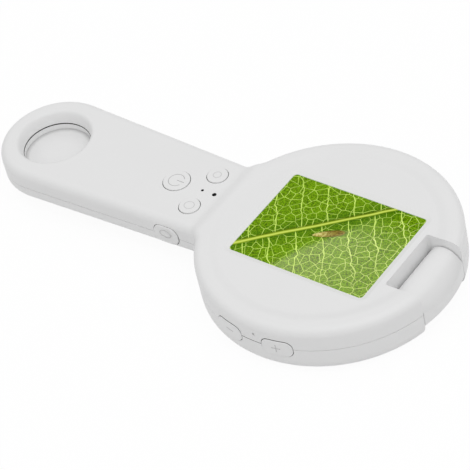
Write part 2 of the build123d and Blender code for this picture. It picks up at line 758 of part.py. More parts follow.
with BuildPart() as friction_sleeves:
    for side in (-1, 1):
        with BuildSketch(hinge_plane.offset(side * sleeve_inner_y)):
            with Locations((hinge_x, hinge_z)):
                Circle(sleeve_radius)
                Circle(pin_radius + running_gap, mode=Mode.SUBTRACT)
        extrude(amount=side * sleeve_length)
finish(friction_sleeves.part, "friction_sleeves")

with BuildPart() as hinge_pin:
    with BuildSketch(hinge_plane):
        with Locations((hinge_x, hinge_z)):
            Circle(pin_radius)
    extrude(amount=pin_half_length, both=True)
finish(hinge_pin.part, "hinge_pin")

# ---------------------------------------------------------------- buttons


def top_cap(x, y, radius, name):
    """A round button of the handle top, with the flange that keeps it in."""
    with BuildPart() as cap:
        with BuildSketch(Plane.XY.offset(cap_flange_low_z)):
            with Locations((x, y)):
                Circle(radius - gap + button_flange)
        extrude(amount=cap_flange_thickness)
        with BuildSketch(Plane.XY.offset(cap_flange_low_z)):
            with Locations((x, y)):
                Circle(radius - gap)
        extrude(amount=cap_top_z - cap_flange_low_z)
        fillet(cap.edges().group_by(Axis.Z)[-1], cap_edge_radius)
    finish(cap.part, name)


top_cap(big_button_x, 0, big_button_radius, "power_button")
top_cap(small_button_x, -small_button_y, small_button_radius, "photo_button")
top_cap(small_button_x, small_button_y, small_button_radius, "record_button")


def wall_cap(plane, length, height, corner, near, flange_length, flange_height, flange_shift, name):
    """A button that stands a little proud of the outer wall, with the flange that keeps it in."""
    with BuildPart() as cap:
        add(rounded_prism(plane, length - 2 * gap, height - 2 * gap, corner - gap, near, 50))
        with BuildSketch():
            add(outline.sketch)
            offset(amount=cap_proud)
        extrude(amount=plateau_z, mode=Mode.INTERSECT)
        outer_face = cap.faces().sort_by(Axis(plane.origin, plane.z_dir))[-1]
        fillet(outer_face.edges(), cap_edge_radius)
        with BuildSketch(plane.offset(near)):
            with Locations((0, flange_shift)):
                RectangleRounded(flange_length, flange_height, 1.0)
        extrude(amount=0.9)
    finish(cap.part, name)


wall_cap(side_plane, side_button_length, side_button_height, side_button_corner, side_flange_face,
         11.4, 6.9, 10.35 - side_button_z, "side_button")
wall_cap(minus_plane, rim_button_length, rim_button_height, rim_button_corner, rim_flange_face,
         12.0, 6.2, 10.0 - rim_button_z, "minus_button")
wall_cap(plus_plane, rim_button_length, rim_button_height, rim_button_corner, rim_flange_face,
         12.0, 6.2, 10.0 - rim_button_z, "plus_button")
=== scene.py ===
"""Finishes, button signs, screen picture and stage of a handheld microscope with a screen.

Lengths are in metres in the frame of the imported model. A length written with MM is in millimetres."""

import math

import bpy
from mathutils import Matrix, Vector


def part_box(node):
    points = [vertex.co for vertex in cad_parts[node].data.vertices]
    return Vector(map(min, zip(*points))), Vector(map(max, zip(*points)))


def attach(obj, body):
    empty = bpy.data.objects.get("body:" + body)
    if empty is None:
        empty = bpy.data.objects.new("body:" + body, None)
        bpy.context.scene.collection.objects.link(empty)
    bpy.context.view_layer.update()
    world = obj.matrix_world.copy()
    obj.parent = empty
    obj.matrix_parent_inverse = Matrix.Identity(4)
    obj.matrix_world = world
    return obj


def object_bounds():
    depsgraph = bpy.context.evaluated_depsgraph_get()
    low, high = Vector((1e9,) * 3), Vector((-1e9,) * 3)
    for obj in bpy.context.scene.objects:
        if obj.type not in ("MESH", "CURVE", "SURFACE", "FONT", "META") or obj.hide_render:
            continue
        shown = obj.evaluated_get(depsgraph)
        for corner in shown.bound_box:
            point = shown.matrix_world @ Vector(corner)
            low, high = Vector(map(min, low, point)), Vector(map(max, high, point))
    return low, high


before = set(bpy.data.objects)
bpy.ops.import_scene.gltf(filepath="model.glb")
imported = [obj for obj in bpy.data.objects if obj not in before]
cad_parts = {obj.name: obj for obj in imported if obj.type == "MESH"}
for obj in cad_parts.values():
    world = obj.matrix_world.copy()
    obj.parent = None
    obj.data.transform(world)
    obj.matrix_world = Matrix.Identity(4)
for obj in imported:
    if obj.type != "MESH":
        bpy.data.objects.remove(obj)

bl_info = {
    "name": "Handheld Screen Microscope",
    "version": (1, 0, 0),
    "blender": (4, 5, 0),
    "location": "View3D > Sidebar > Microscope",
    "description": "Finishes, button marks, screen picture and stage of a handheld microscope with a screen",
    "category": "Object",
}

CAD_LOW, CAD_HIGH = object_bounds()
MM = 0.001
LINEAR_KNEE = 0.04045


def linear(*levels):
    """A colour given in 8-bit display levels, as the linear values that a material takes."""
    values = []
    for level in levels:
        share = level / 255
        values.append(share / 12.92 if share <= LINEAR_KNEE else ((share + 0.055) / 1.055) ** 2.4)
    return tuple(values)


def node_centre(name):
    """The middle of a CAD node's box."""
    low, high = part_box(name)
    return tuple((a + b) / 2 for a, b in zip(low, high))


# places on the object: read from the CAD nodes, or the few that no node's box gives
HEAD_X = node_centre("cover_glass")[0]
GLASS_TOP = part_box("cover_glass")[1][2]
HEAD_RADIUS = (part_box("bottom_shell")[1][1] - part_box("bottom_shell")[0][1]) / 2
RIM_CAP_PROUD = 0.3 * MM
TOP_CAP_PROUD = 0.4 * MM
HANDLE_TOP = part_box("power_button")[1][2] - TOP_CAP_PROUD
EYE_X = HEAD_X - 108.2 * MM
EYE_RADIUS = 11.25 * MM
EYE_FLOOR = 9.1 * MM
EYE_SEAM = (11.4 * MM, 11.75 * MM)
SEAM_Z = 9.65 * MM
RIM_CAP_MIDDLE = math.radians(-91)
RIM_CAP_GAP = math.radians(9.5)
HOLES = ((HEAD_X - 47.7 * MM, 0.5 * MM), (HEAD_X - 43.05 * MM, 0.75 * MM))

# the signs on the buttons: radii of the rings, lengths of the strokes, places off the caps' middles
POWER_RING = 2.6 * MM
POWER_GAP = math.radians(32)
POWER_STEM = 2.8 * MM
POWER_STEM_OUT = 1.6 * MM
PHOTO_RING = 1.7 * MM
PHOTO_STRETCH = 0.9
RECORD_RING = 1.3 * MM
SIDE_RING = 2.1 * MM
SIDE_STRETCH = 0.68
SIDE_RING_UP = 0.4 * MM
RIM_STROKE = 3.0 * MM
RIM_STROKE_DOWN = 0.3 * MM

# dark pieces that stand in for shade: a ring in the seam of the finger eye, a web in the rim's seam, liners
# of the small holes
SHADOW_RING_OUT = 0.45 * MM
SHADOW_RING_WIDTH = 1.1 * MM
SHADOW_RING_SQUEEZE = 0.05 * MM
WEB_IN = 0.1 * MM
WEB_WIDTH = 0.24 * MM
WEB_HEIGHT = 0.26 * MM
LINER_BELOW = 0.04 * MM
LINER_WALL = 0.1 * MM
LINER_HEIGHT = 1.2 * MM
LINER_RING = 0.2 * MM
LINER_RING_DOWN = 0.7 * MM


# ---------------------------------------------------------------- what a user would change
class HousingSettings(bpy.types.PropertyGroup):
    """The moulded plastic of the shells, the stand and the buttons."""
    shell_colour: bpy.props.FloatVectorProperty(
        name="Shell colour", description="Colour of the two shells and the stand",
        subtype="COLOR", size=3, min=0, max=1, default=(0.90, 0.90, 0.90))
    button_colour: bpy.props.FloatVectorProperty(
        name="Button colour", description="Colour of the push buttons",
        subtype="COLOR", size=3, min=0, max=1, default=(0.90, 0.90, 0.90))
    grain_size: bpy.props.FloatProperty(
        name="Grain size", description="Size of the fine moulded grain",
        subtype="DISTANCE", min=0.00005, max=0.002, default=0.00035)
    roughness: bpy.props.FloatProperty(
        name="Roughness", description="How matt the shells are",
        subtype="FACTOR", min=0, max=1, default=0.42)


class PictureSettings(bpy.types.PropertyGroup):
    """The leaf on the screen."""
    leaf_colour: bpy.props.FloatVectorProperty(
        name="Leaf colour", description="Colour of the leaf between its veins",
        subtype="COLOR", size=3, min=0, max=1, default=linear(102, 144, 4))
    vein_colour: bpy.props.FloatVectorProperty(
        name="Vein colour", description="Colour of the veins",
        subtype="COLOR", size=3, min=0, max=1, default=linear(208, 238, 112))
    vein_spacing: bpy.props.FloatProperty(
        name="Vein spacing", description="Distance between the side veins",
        subtype="DISTANCE", min=0.002, max=0.02, default=0.0082)
    cell_size: bpy.props.FloatProperty(
        name="Cell size", description="Size of the larger cells between the veins",
        subtype="DISTANCE", min=0.0005, max=0.01, default=0.0030)


class MarkSettings(bpy.types.PropertyGroup):
    """The signs on the buttons."""
    colour: bpy.props.FloatVectorProperty(
        name="Mark colour", description="Colour of the signs on the buttons",
        subtype="COLOR", size=3, min=0, max=1, default=(0.56, 0.56, 0.56))
    stroke: bpy.props.FloatProperty(
        name="Stroke", description="Width of the strokes",
        subtype="DISTANCE", min=0.0001, max=0.001, default=0.0003)
    proud: bpy.props.FloatProperty(
        name="Proud", description="How far the strokes stand out of the button",
        subtype="DISTANCE", min=0, max=0.0005, default=0.00005)


class StageSettings(bpy.types.PropertyGroup):
    """The light and the camera."""
    sky_level: bpy.props.FloatProperty(
        name="Sky level", description="Strength of the even light from all round",
        min=0, max=5, default=0.73)
    key_power: bpy.props.FloatProperty(
        name="Key power", description="Power of the large lamp",
        subtype="POWER", min=0, max=200, default=17.0)
    glare_level: bpy.props.FloatProperty(
        name="Glare level", description="Strength of the card that the screen reflects",
        min=0, max=200, default=33.0)
    azimuth: bpy.props.FloatProperty(
        name="Azimuth", description="Camera direction round the object",
        subtype="ANGLE", default=math.radians(45.20))
    elevation: bpy.props.FloatProperty(
        name="Elevation", description="Camera direction above the horizon",
        subtype="ANGLE", default=math.radians(42.80))
    roll: bpy.props.FloatProperty(
        name="Roll", description="Turn of the camera about its view", subtype="ANGLE", default=-0.2427)
    distance: bpy.props.FloatProperty(
        name="Distance", description="Camera distance from the point it looks at",
        subtype="DISTANCE", default=0.7659)
    lens: bpy.props.FloatProperty(
        name="Lens", description="Focal length in millimetres on a 36 mm sensor", default=186.65)


# ---------------------------------------------------------------- materials
class Value:
    """One number in a material, with ordinary arithmetic."""

    def __init__(self, finish, socket):
        self.finish = finish
        self.socket = socket

    def math(self, operation, *others):
        """The outcome of a Math node."""
        node = self.finish.node("ShaderNodeMath", {"operation": operation}, [self, *others])
        return Value(self.finish, node.outputs[0])

    def __add__(self, other):
        return self.math("ADD", other)

    def __mul__(self, other):
        return self.math("MULTIPLY", other)

    def __sub__(self, other):
        return self.math("SUBTRACT", other)

    def __truediv__(self, other):
        return self.math("DIVIDE", other)

    def __pow__(self, other):
        return self.math("POWER", other)

    def __rsub__(self, other):
        return (self * -1) + other

    def __rtruediv__(self, other):
        return (self ** -1) * other

    def __abs__(self):
        return self.math("ABSOLUTE")

    __radd__ = __add__
    __rmul__ = __mul__

    def clamp(self):
        """Held between 0 and 1."""
        return self.math("MAXIMUM", 0).math("MINIMUM", 1)

    def fades(self, start, end):
        """1 below start, 0 above end, smooth between them."""
        return self.finish.ramp(self, start, end, 1, 0)

    def grows(self, start, end):
        """0 below start, 1 above end, smooth between them."""
        return self.finish.ramp(self, start, end, 0, 1)


class Finish:
    """A material under construction."""

    def __init__(self, name):
        self.material = bpy.data.materials.new(name)
        self.material.use_nodes = True
        self.tree = self.material.node_tree
        self.tree.nodes.clear()
        self.shader = self.node("ShaderNodeBsdfPrincipled")
        self.output = self.node("ShaderNodeOutputMaterial")
        self.tree.links.new(self.shader.outputs[0], self.output.inputs["Surface"])

    def node(self, kind, settings=None, values=None):
        """A new node: its settings first, then what its sockets take."""
        made = self.tree.nodes.new(kind)
        for key, setting in (settings or {}).items():
            setattr(made, key, setting)
        pairs = values.items() if isinstance(values, dict) else enumerate(values or [])
        for key, value in pairs:
            self.feed(made.inputs[key], value)
        return made

    def feed(self, socket, value):
        """Link a value or an output, or write a number or a colour on the socket itself."""
        if isinstance(value, Value):
            self.tree.links.new(value.socket, socket)
        elif isinstance(value, bpy.types.NodeSocket):
            self.tree.links.new(value, socket)
        elif isinstance(value, (tuple, list)) and socket.type == "RGBA":
            socket.default_value = (*value[:3], 1)
        else:
            socket.default_value = value

    def set(self, **inputs):
        """Fill sockets of the main shader, named with _ in place of spaces."""
        for key, value in inputs.items():
            self.feed(self.shader.inputs[key.replace("_", " ").title().replace("Ior", "IOR")], value)

    def place(self):
        """The point on the object, as a vector output."""
        return self.node("ShaderNodeTexCoord").outputs["Object"]

    def axes(self):
        """The point on the object as three values, in millimetres."""
        parts = self.node("ShaderNodeSeparateXYZ", None, [self.place()])
        return [Value(self, out) * (1 / MM) for out in parts.outputs]

    def ramp(self, value, start, end, low, high):
        """A smooth step from low to high as the value goes from start to end."""
        made = self.node("ShaderNodeMapRange", {"interpolation_type": "SMOOTHSTEP"},
                         {"Value": value, "From Min": start, "From Max": end, "To Min": low, "To Max": high})
        return Value(self, made.outputs[0])

    def noise(self, size, detail=2.0, vector=None, rough=0.5):
        """Cloudy noise from 0 to 1 with features of that size in metres."""
        made = self.node("ShaderNodeTexNoise", None,
                         {"Vector": vector or self.place(), "Scale": 1 / size, "Detail": detail,
                          "Roughness": rough})
        return Value(self, made.outputs[0])

    def mix(self, factor, first, second):
        """Two colours mixed: the first at 0, the second at 1."""
        made = self.node("ShaderNodeMix", {"data_type": "RGBA"})
        self.feed(made.inputs[0], factor)
        self.feed(made.inputs[6], first)
        self.feed(made.inputs[7], second)
        return made.outputs[2]

    def bump(self, height, depth):
        """Relief of that depth in metres."""
        made = self.node("ShaderNodeBump", None, {"Strength": 1.0, "Distance": depth, "Height": height})
        self.feed(self.shader.inputs["Normal"], made.outputs[0])


GRAIN_DEPTH = 0.000004
CLOUD_SIZE = 0.02
PAINTED_SHADE_TINT = 0.04

# for the reliefs and the painted shade on the white plastic, in millimetres like the axes that they are laid
# on
CROWN_INNER = 33.0
CROWN_OUTER = 36.8
CROWN_RISE = 0.4
NOSE_BAND = 4.0
NOSE_FALL = -0.09
EYE_SHADOW_WIDTH = 1.6
EYE_SHADOW_HEIGHT = 0.6
EYE_SHADOW_SHARE = 0.27
# where the painted shade on the sides of the caps starts and ends, and the width and height of the painted
# shadow at the foot of the rim caps' upper edge
TOP_FLANK = (0.25, 0.05)
RIM_FLANK = (0.3, 0.1)
RIM_FOOT = 0.13
RIM_UPPER_HALF = 2.2
SIDE_FLANK = (0.45, 0.9)


def tint(colour, factor):
    """A colour made lighter or darker."""
    return tuple(min(1.0, part * factor) for part in colour[:3])


def moulded(name, colour, roughness, grain, relief=None, shade=None):
    """Moulded plastic: fine grain, faint clouds in colour and sheen.

    relief gives a broader relief in millimetres, shade the share of painted shade by which the plastic is
    darker."""
    finish = Finish(name)
    clouds = finish.noise(CLOUD_SIZE, 3)
    grains = finish.noise(grain, 3, rough=0.6)
    pigment = finish.mix(clouds, tint(colour, 0.985), tint(colour, 1.01))
    if shade:
        pigment = finish.mix(shade(finish), pigment, tint(colour, PAINTED_SHADE_TINT))
    finish.set(base_color=pigment, roughness=clouds * 0.05 + grains * 0.06 + (roughness - 0.055))
    height = grains + relief(finish) * (MM / GRAIN_DEPTH) if relief else grains
    finish.bump(height, GRAIN_DEPTH)
    return finish.material


def off_axis(finish, centre_x):
    """Distance in millimetres from the upright line through that x."""
    x, y, _ = finish.axes()
    x = x - centre_x / MM
    return (x * x + y * y) ** 0.5


def crown_ring(finish):
    """The rim stands a little above the face of the head."""
    return off_axis(finish, HEAD_X).grows(CROWN_INNER, CROWN_OUTER) * CROWN_RISE


def nose_round(finish):
    """The slope of the stand's nose falls off softly towards the rim."""
    beyond = (off_axis(finish, HEAD_X) - (HEAD_RADIUS / MM - NOSE_BAND)).math("MAXIMUM", 0)
    return beyond * beyond * NOSE_FALL


def eye_corner_painted_shadow(finish):
    """Painted shadow: the plastic made darker in the corner where the floor of the finger eye meets its
    wall.
    """
    out = off_axis(finish, EYE_X)
    wall = EYE_RADIUS / MM
    near_wall = out.grows(wall - EYE_SHADOW_WIDTH, wall) * out.fades(wall, wall + 0.2)
    above = abs(finish.axes()[2] - EYE_FLOOR / MM)
    return near_wall * above.fades(0.05, EYE_SHADOW_HEIGHT) * EYE_SHADOW_SHARE


def top_cap_gap_shade(finish):
    """Painted shade: the side of a cap inside the hole of the handle top, made dark as the shade in the gap.
    """
    return finish.axes()[2].fades(HANDLE_TOP / MM - TOP_FLANK[0], HANDLE_TOP / MM - TOP_FLANK[1])


def rim_cap_gap_shade(finish):
    """Painted shade: the side of a cap inside its opening in the rim made dark, with a painted shadow along
    the foot of its upper edge.
    """
    out = off_axis(finish, HEAD_X)
    wall = HEAD_RADIUS / MM
    upper = finish.axes()[2].grows(SEAM_Z / MM, SEAM_Z / MM + RIM_UPPER_HALF)
    foot = out.fades(wall, wall + RIM_FOOT) * upper
    return foot.math("MAXIMUM", out.fades(wall - RIM_FLANK[0], wall - RIM_FLANK[1]))


def side_cap_gap_shade(finish):
    """Painted shade: the side of the cap inside its opening in the handle's side, made dark as the shade in
    the gap.
    """
    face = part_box("side_button")[0][1] / MM
    return finish.axes()[1].grows(face + SIDE_FLANK[0], face + SIDE_FLANK[1])


def metal(name, colour, roughness, streak=(1, 30, 30)):
    """Drawn or stamped metal with fine streaks."""
    finish = Finish(name)
    along = finish.node("ShaderNodeMapping", None, {"Vector": finish.place(), "Scale": streak}).outputs[0]
    streaks = finish.noise(0.004, 4, along, 0.65)
    spots = finish.noise(0.003, 2)
    finish.set(base_color=finish.mix(streaks, tint(colour, 0.85), tint(colour, 1.1)), metallic=1.0,
               roughness=streaks * 0.15 + spots * 0.08 + (roughness - 0.1))
    finish.bump(streaks, 0.000003)
    return finish.material


def soldered_board(name, colour, copper):
    """Lacquered circuit board: tracks under the lacquer and bright pads."""
    finish = Finish(name)
    x, y, _ = finish.axes()
    cells = finish.node("ShaderNodeTexVoronoi", {"feature": "F1", "distance": "MANHATTAN"},
                        {"Vector": finish.place(), "Scale": 1 / (2.6 * MM), "Randomness": 0.8})
    rings = abs(Value(finish, cells.outputs["Distance"]) * 0.5 - 0.18).fades(0.02, 0.035)
    pad_x = abs((x * 0.8).math("FRACT") - 0.5)
    pad_y = abs((y * 0.8).math("FRACT") - 0.5)
    cloud = finish.noise(0.009, 1)
    pads = pad_x.fades(0.16, 0.2) * pad_y.fades(0.16, 0.2) * cloud.grows(0.56, 0.6)
    tracked = finish.mix(rings, colour, tint(colour, 1.7))
    finish.set(base_color=finish.mix(pads, tracked, copper), metallic=pads * 0.9, roughness=pads * 0.1 + 0.3)
    finish.bump(rings + pads, 0.00002)
    return finish.material


def clear(name, colour, roughness, tinted):
    """Coated glass or clear resin: mostly lets the background through, with gloss."""
    finish = Finish(name)
    smear = finish.noise(0.006, 3)
    finish.set(base_color=finish.mix(smear, tint(colour, 0.97), colour), roughness=smear * 0.03 + roughness,
               alpha=tinted)
    return finish.material


def pouch(name, colour):
    """Crinkled foil of a flat cell."""
    finish = Finish(name)
    folds = finish.noise(0.005, 4, rough=0.6)
    finish.set(base_color=finish.mix(folds, tint(colour, 0.9), tint(colour, 1.08)), metallic=0.85,
               roughness=folds * 0.2 + 0.3)
    finish.bump(folds, 0.00008)
    return finish.material


def rubbery(name, colour):
    """Soft rubber with a dusty bloom."""
    finish = Finish(name)
    bloom = finish.noise(0.0015, 4, rough=0.7)
    finish.set(base_color=finish.mix(bloom, tint(colour, 0.9), tint(colour, 1.15)),
               roughness=bloom * 0.15 + 0.7)
    finish.bump(bloom, 0.00001)
    return finish.material


# ---------------------------------------------------------------- the leaf on the screen
SWAY_SIZE = 11 * MM
WANDER_SIZE = 3.4 * MM
RIPPLE_SIZE = 1.8 * MM
RIPPLE_REACH = 0.6 * MM
PATCH_SIZE = 4 * MM
PULP_SIZE = 0.45 * MM
SHADING_SIZE = 8 * MM
STREAK_SIZE = 0.6 * MM
FINE_CELLS = 0.42

# places and widths in millimetres from the middle of the screen
MIDRIB_START = (-24.4, -15.0)
MIDRIB_ANGLE = math.radians(41.6)
MIDRIB_HALF = 0.54
FIRST_VEIN_BELOW = 10.7
FIRST_VEIN_ABOVE = 12.6
VEIN_LEAN = 0.12
INSECT_AT = (0.1, 0.45)
INSECT_ANGLE = math.radians(31.0)
INSECT_HALF = (5.2, 1.35)
NEAR_RIB = linear(58, 104, 0)
FINE_VEIN = linear(176, 212, 40)
BRIGHT_VEIN = linear(238, 252, 160)
HALO_BELOW = linear(66, 100, 0)
HALO_ABOVE = linear(84, 90, 0)
RIB_EDGE = linear(146, 174, 36)
RIB_CREST = linear(214, 228, 104)
INSECT_WINGS = (linear(214, 204, 128), linear(166, 152, 68))
INSECT_HEAD = (linear(142, 126, 46), linear(108, 86, 22))
INSECT_EDGE = linear(104, 82, 24)
INSECT_SHADOW = linear(52, 80, 0)
GLASS_BLACK = (0.002, 0.002, 0.002)


def along_across(x, y, middle, angle):
    """How far the point is from a middle, along a direction and across it."""
    dx = x - middle[0]
    dy = y - middle[1]
    return (dx * math.cos(angle) + dy * math.sin(angle), dy * math.cos(angle) - dx * math.sin(angle))


def leaf_picture(name, look):
    """A leaf seen close up on a lit display under a glossy window."""
    finish = Finish(name)
    x, y, z = finish.axes()
    x = x - HEAD_X / MM
    sway = finish.noise(SWAY_SIZE, 1) - 0.5
    wander = finish.noise(WANDER_SIZE, 2) - 0.5
    along, across = along_across(x, y, MIDRIB_START, MIDRIB_ANGLE)
    across = across + sway * 0.8
    side = abs(across)
    above = across.grows(-0.1, 0.1)

    # side veins leave the midrib nearly square, in two staggered rows, and wander further out
    spacing = look.vein_spacing / MM
    root = along - across * VEIN_LEAN + sway * side * 0.3 + wander * side.grows(0, 7) * 2.2
    turn = (root - above * (FIRST_VEIN_ABOVE - FIRST_VEIN_BELOW) - FIRST_VEIN_BELOW) / spacing + 0.5
    off_vein = abs(turn.math("FRACT") - 0.5) * spacing
    side_veins = off_vein.fades(0.07, 0.2) * side.fades(10, 40)

    # a wide and a fine net of veins, both a little wavy
    ripple = finish.node("ShaderNodeTexNoise", None, {"Vector": finish.place(), "Scale": 1 / RIPPLE_SIZE})
    shift = finish.node("ShaderNodeVectorMath", {"operation": "SCALE"},
                        {0: ripple.outputs[1], "Scale": RIPPLE_REACH}).outputs[0]
    wavy = finish.node("ShaderNodeVectorMath", {"operation": "ADD"}, [finish.place(), shift]).outputs[0]

    def net(size, thin, wide):
        made = finish.node("ShaderNodeTexVoronoi",
                           {"feature": "DISTANCE_TO_EDGE", "voronoi_dimensions": "2D"},
                           {"Vector": wavy, "Scale": 1 / size, "Randomness": 0.9})
        return (Value(finish, made.outputs[0]) * (size / MM)).fades(thin, wide)

    patchy = finish.noise(PATCH_SIZE, 1).grows(0.3, 0.65)
    bright = x.grows(-5, 14) * side.grows(2, 9)
    wide_net = net(look.cell_size, 0.03, 0.12) * (patchy * 0.4 + 0.6)
    fine_net = net(look.cell_size * FINE_CELLS, 0.0, 0.08) * (patchy * 0.25 + 0.3 + bright * 0.15)
    veins = side_veins.math("MAXIMUM", wide_net).clamp()

    # the leaf's ground, its veins over it, and the midrib over both
    pulp = finish.noise(PULP_SIZE, 2, rough=0.6)
    shading = finish.noise(SHADING_SIZE, 1)
    leaf = look.leaf_colour[:]
    ground = finish.mix(pulp.grows(0.36, 0.64), tint(leaf, 0.42), tint(leaf, 1.32))
    ground = finish.mix(shading.grows(0.35, 0.7) * 0.4, ground, tint(leaf, 1.2))
    ground = finish.mix(side.fades(0.5, 6.5) * 0.72, ground, NEAR_RIB)
    ground = finish.mix(fine_net, ground, FINE_VEIN)
    picture = finish.mix(veins, ground, finish.mix(bright * 0.5, look.vein_colour[:], BRIGHT_VEIN))
    rib = side * (along * 0.006 + 0.72)
    halo = side.fades(MIDRIB_HALF, 3 * MIDRIB_HALF) * 0.7
    picture = finish.mix(halo, picture, finish.mix(above, HALO_BELOW, HALO_ABOVE))
    picture = finish.mix(rib.fades(0.7 * MIDRIB_HALF, 1.3 * MIDRIB_HALF), picture, RIB_EDGE)
    picture = finish.mix(rib.fades(0.1 * MIDRIB_HALF, 0.8 * MIDRIB_HALF) * 0.9, picture, RIB_CREST)
    picture = with_insect(finish, x, y, wander, picture)

    # the picture lies on the upper face only, and the glass edge stays dark
    lit = z.grows(GLASS_TOP / MM - 0.06, GLASS_TOP / MM - 0.03)
    finish.set(base_color=GLASS_BLACK, roughness=pulp * 0.01 + 0.03,
               emission_color=finish.mix(lit, (0, 0, 0), picture), ior=1.1)
    finish.shader.inputs["Emission Strength"].default_value = 1.0
    return finish.material


def with_insect(finish, x, y, wander, picture):
    """A small insect below the midrib: pale wings to the left, brown head to the right."""
    along, across = along_across(x, y, INSECT_AT, INSECT_ANGLE)
    length = along / INSECT_HALF[0]
    width = (across + wander * 0.5) / INSECT_HALF[1]
    taper = (length * -0.55 + 1.0).math("MAXIMUM", 0.7)
    egg = length * length + width * width * taper
    streaks = finish.noise(STREAK_SIZE, 2).grows(0.4, 0.6)
    hull = finish.mix(length.grows(-0.5, 0.4), finish.mix(streaks, *INSECT_WINGS),
                      finish.mix(streaks, *INSECT_HEAD))
    hull = finish.mix(abs(width).grows(0.5, 1.0) * 0.7, hull, INSECT_EDGE)
    picture = finish.mix(egg.fades(0.95, 1.7) * 0.5, picture, INSECT_SHADOW)
    return finish.mix(egg.fades(0.8, 1.05), picture, hull)


# ---------------------------------------------------------------- small modelling steps
def paint(names, material):
    """Give CAD nodes a finish."""
    for name in names:
        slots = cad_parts[name].data.materials
        slots.clear()
        slots.append(material)


def begin():
    """Leave edit mode and select nothing."""
    if bpy.context.object and bpy.context.object.mode != "OBJECT":
        bpy.ops.object.mode_set(mode="OBJECT")
    bpy.ops.object.select_all(action="DESELECT")


def settle(name, material, body):
    """Name the active piece, write its place into its mesh, finish it and let it ride on a body."""
    piece = bpy.context.object
    bpy.ops.object.transform_apply(location=True, rotation=True, scale=True)
    piece.name = name
    piece.data.name = name
    piece.data.materials.clear()
    piece.data.materials.append(material)
    bpy.ops.object.shade_smooth_by_angle(angle=math.radians(35))
    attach(piece, body)


def bar(centre, length, width, height):
    """A stroke with rounded ends, left active and selected."""
    begin()
    bpy.ops.mesh.primitive_cube_add(size=1, location=centre)
    bpy.context.object.scale = (length, width, height)
    bpy.ops.object.transform_apply(location=False, rotation=False, scale=True)
    bpy.ops.object.mode_set(mode="EDIT")
    bpy.ops.mesh.select_all(action="SELECT")
    bpy.ops.mesh.bevel(offset=min(width, height) * 0.4, segments=3)
    bpy.ops.object.mode_set(mode="OBJECT")
    return bpy.context.object


def loop(centre, radius, stroke, height, turn=(0, 0, 0), stretch=1.0):
    """A flat ring with broken edges, left active and selected."""
    begin()
    bpy.ops.mesh.primitive_circle_add(vertices=64, radius=radius + stroke / 2, fill_type="NGON",
                                      location=centre, rotation=turn)
    ring = bpy.context.object
    bpy.ops.object.mode_set(mode="EDIT")
    bpy.ops.mesh.select_all(action="SELECT")
    bpy.ops.mesh.inset(thickness=stroke)
    bpy.ops.mesh.delete(type="FACE")
    bpy.ops.mesh.select_all(action="SELECT")
    bpy.ops.mesh.extrude_region_shrink_fatten(TRANSFORM_OT_shrink_fatten={"value": height})
    bpy.ops.mesh.select_all(action="SELECT")
    bpy.ops.mesh.normals_make_consistent(inside=False)
    bpy.ops.mesh.bevel(offset=min(stroke, height) * 0.25, segments=2, affect="EDGES")
    bpy.ops.object.mode_set(mode="OBJECT")
    bpy.ops.object.origin_set(type="ORIGIN_GEOMETRY", center="BOUNDS")
    ring.location = centre
    ring.scale = (1, stretch, 1)
    return ring


def arc(centre, radius, stroke, height, start, sweep):
    """Part of a ring, from one angle on over a sweep, its ends closed, left active and selected."""
    begin()
    first = (radius * math.cos(start), radius * math.sin(start), 0)
    bpy.ops.mesh.primitive_circle_add(vertices=10, radius=stroke / 2, fill_type="NGON", location=first,
                                      rotation=(math.pi / 2, 0, start))
    bpy.ops.object.transform_apply(location=True, rotation=True, scale=True)
    bpy.ops.object.mode_set(mode="EDIT")
    bpy.ops.mesh.select_all(action="SELECT")
    bpy.ops.mesh.duplicate()
    bpy.ops.mesh.select_all(action="INVERT")
    bpy.ops.mesh.spin(steps=48, angle=sweep, center=(0, 0, 0), axis=(0, 0, -1))
    bpy.ops.mesh.select_all(action="SELECT")
    bpy.ops.mesh.remove_doubles(threshold=0.000001)
    bpy.ops.mesh.normals_make_consistent(inside=False)
    bpy.ops.object.mode_set(mode="OBJECT")
    ring = bpy.context.object
    ring.scale = (1, 1, height / stroke)
    ring.location = centre
    return ring


def joined(*pieces):
    """One piece out of several, left active and selected."""
    begin()
    for piece in pieces:
        piece.select_set(True)
    bpy.context.view_layer.objects.active = pieces[0]
    bpy.ops.object.join()


def rim_turn(angle, arm):
    """The turn that lays a stroke on the rim at that angle, level or upright."""
    out = (math.cos(angle), math.sin(angle), 0)
    level = (-out[1], out[0], 0)
    up = (0, 0, 1)
    columns = Matrix((level, up, out)).transposed()
    return (columns.to_4x4() @ Matrix.Rotation(arm, 4, "Z")).to_quaternion()


# ---------------------------------------------------------------- stage
FLOOR_SIZE = 8
FLOOR_DROP = 0.05 * MM
KEY_AT = (1.29, -0.47, 2.945)
KEY_SIZE = 2.5
LOOK_AT = (HEAD_X - 38.7 * MM, 0.23 * MM, 0.0)
SKY_HORIZON = 0.66
SKY_ZENITH = 1.17
# the floor's own white, and the share that it has where the camera or a gloss sees the floor
PAPER_WHITE = 1.03
PAPER_SHARE = 0.91
# the outline of the bright patch on the screen, in millimetres from its middle
GLARE_PATCH = ((-8.3, -18.4), (-4.7, -9.6), (-1.0, -4.0), (3.2, 1.6), (7.5, 9.0), (12.0, 18.4),
               (30.0, 18.4), (30.0, -18.4))
# how far past the screen the card stands, as a share of the camera's distance from it
GLARE_REACH = 0.55
GLARE_COLOUR = (1.0, 0.88, 0.7)
# where on the screen the glare dies away, in millimetres to the right and to the back
GLARE_FADE_X = (-6, 26)
GLARE_FADE_Y = (-2, 16)


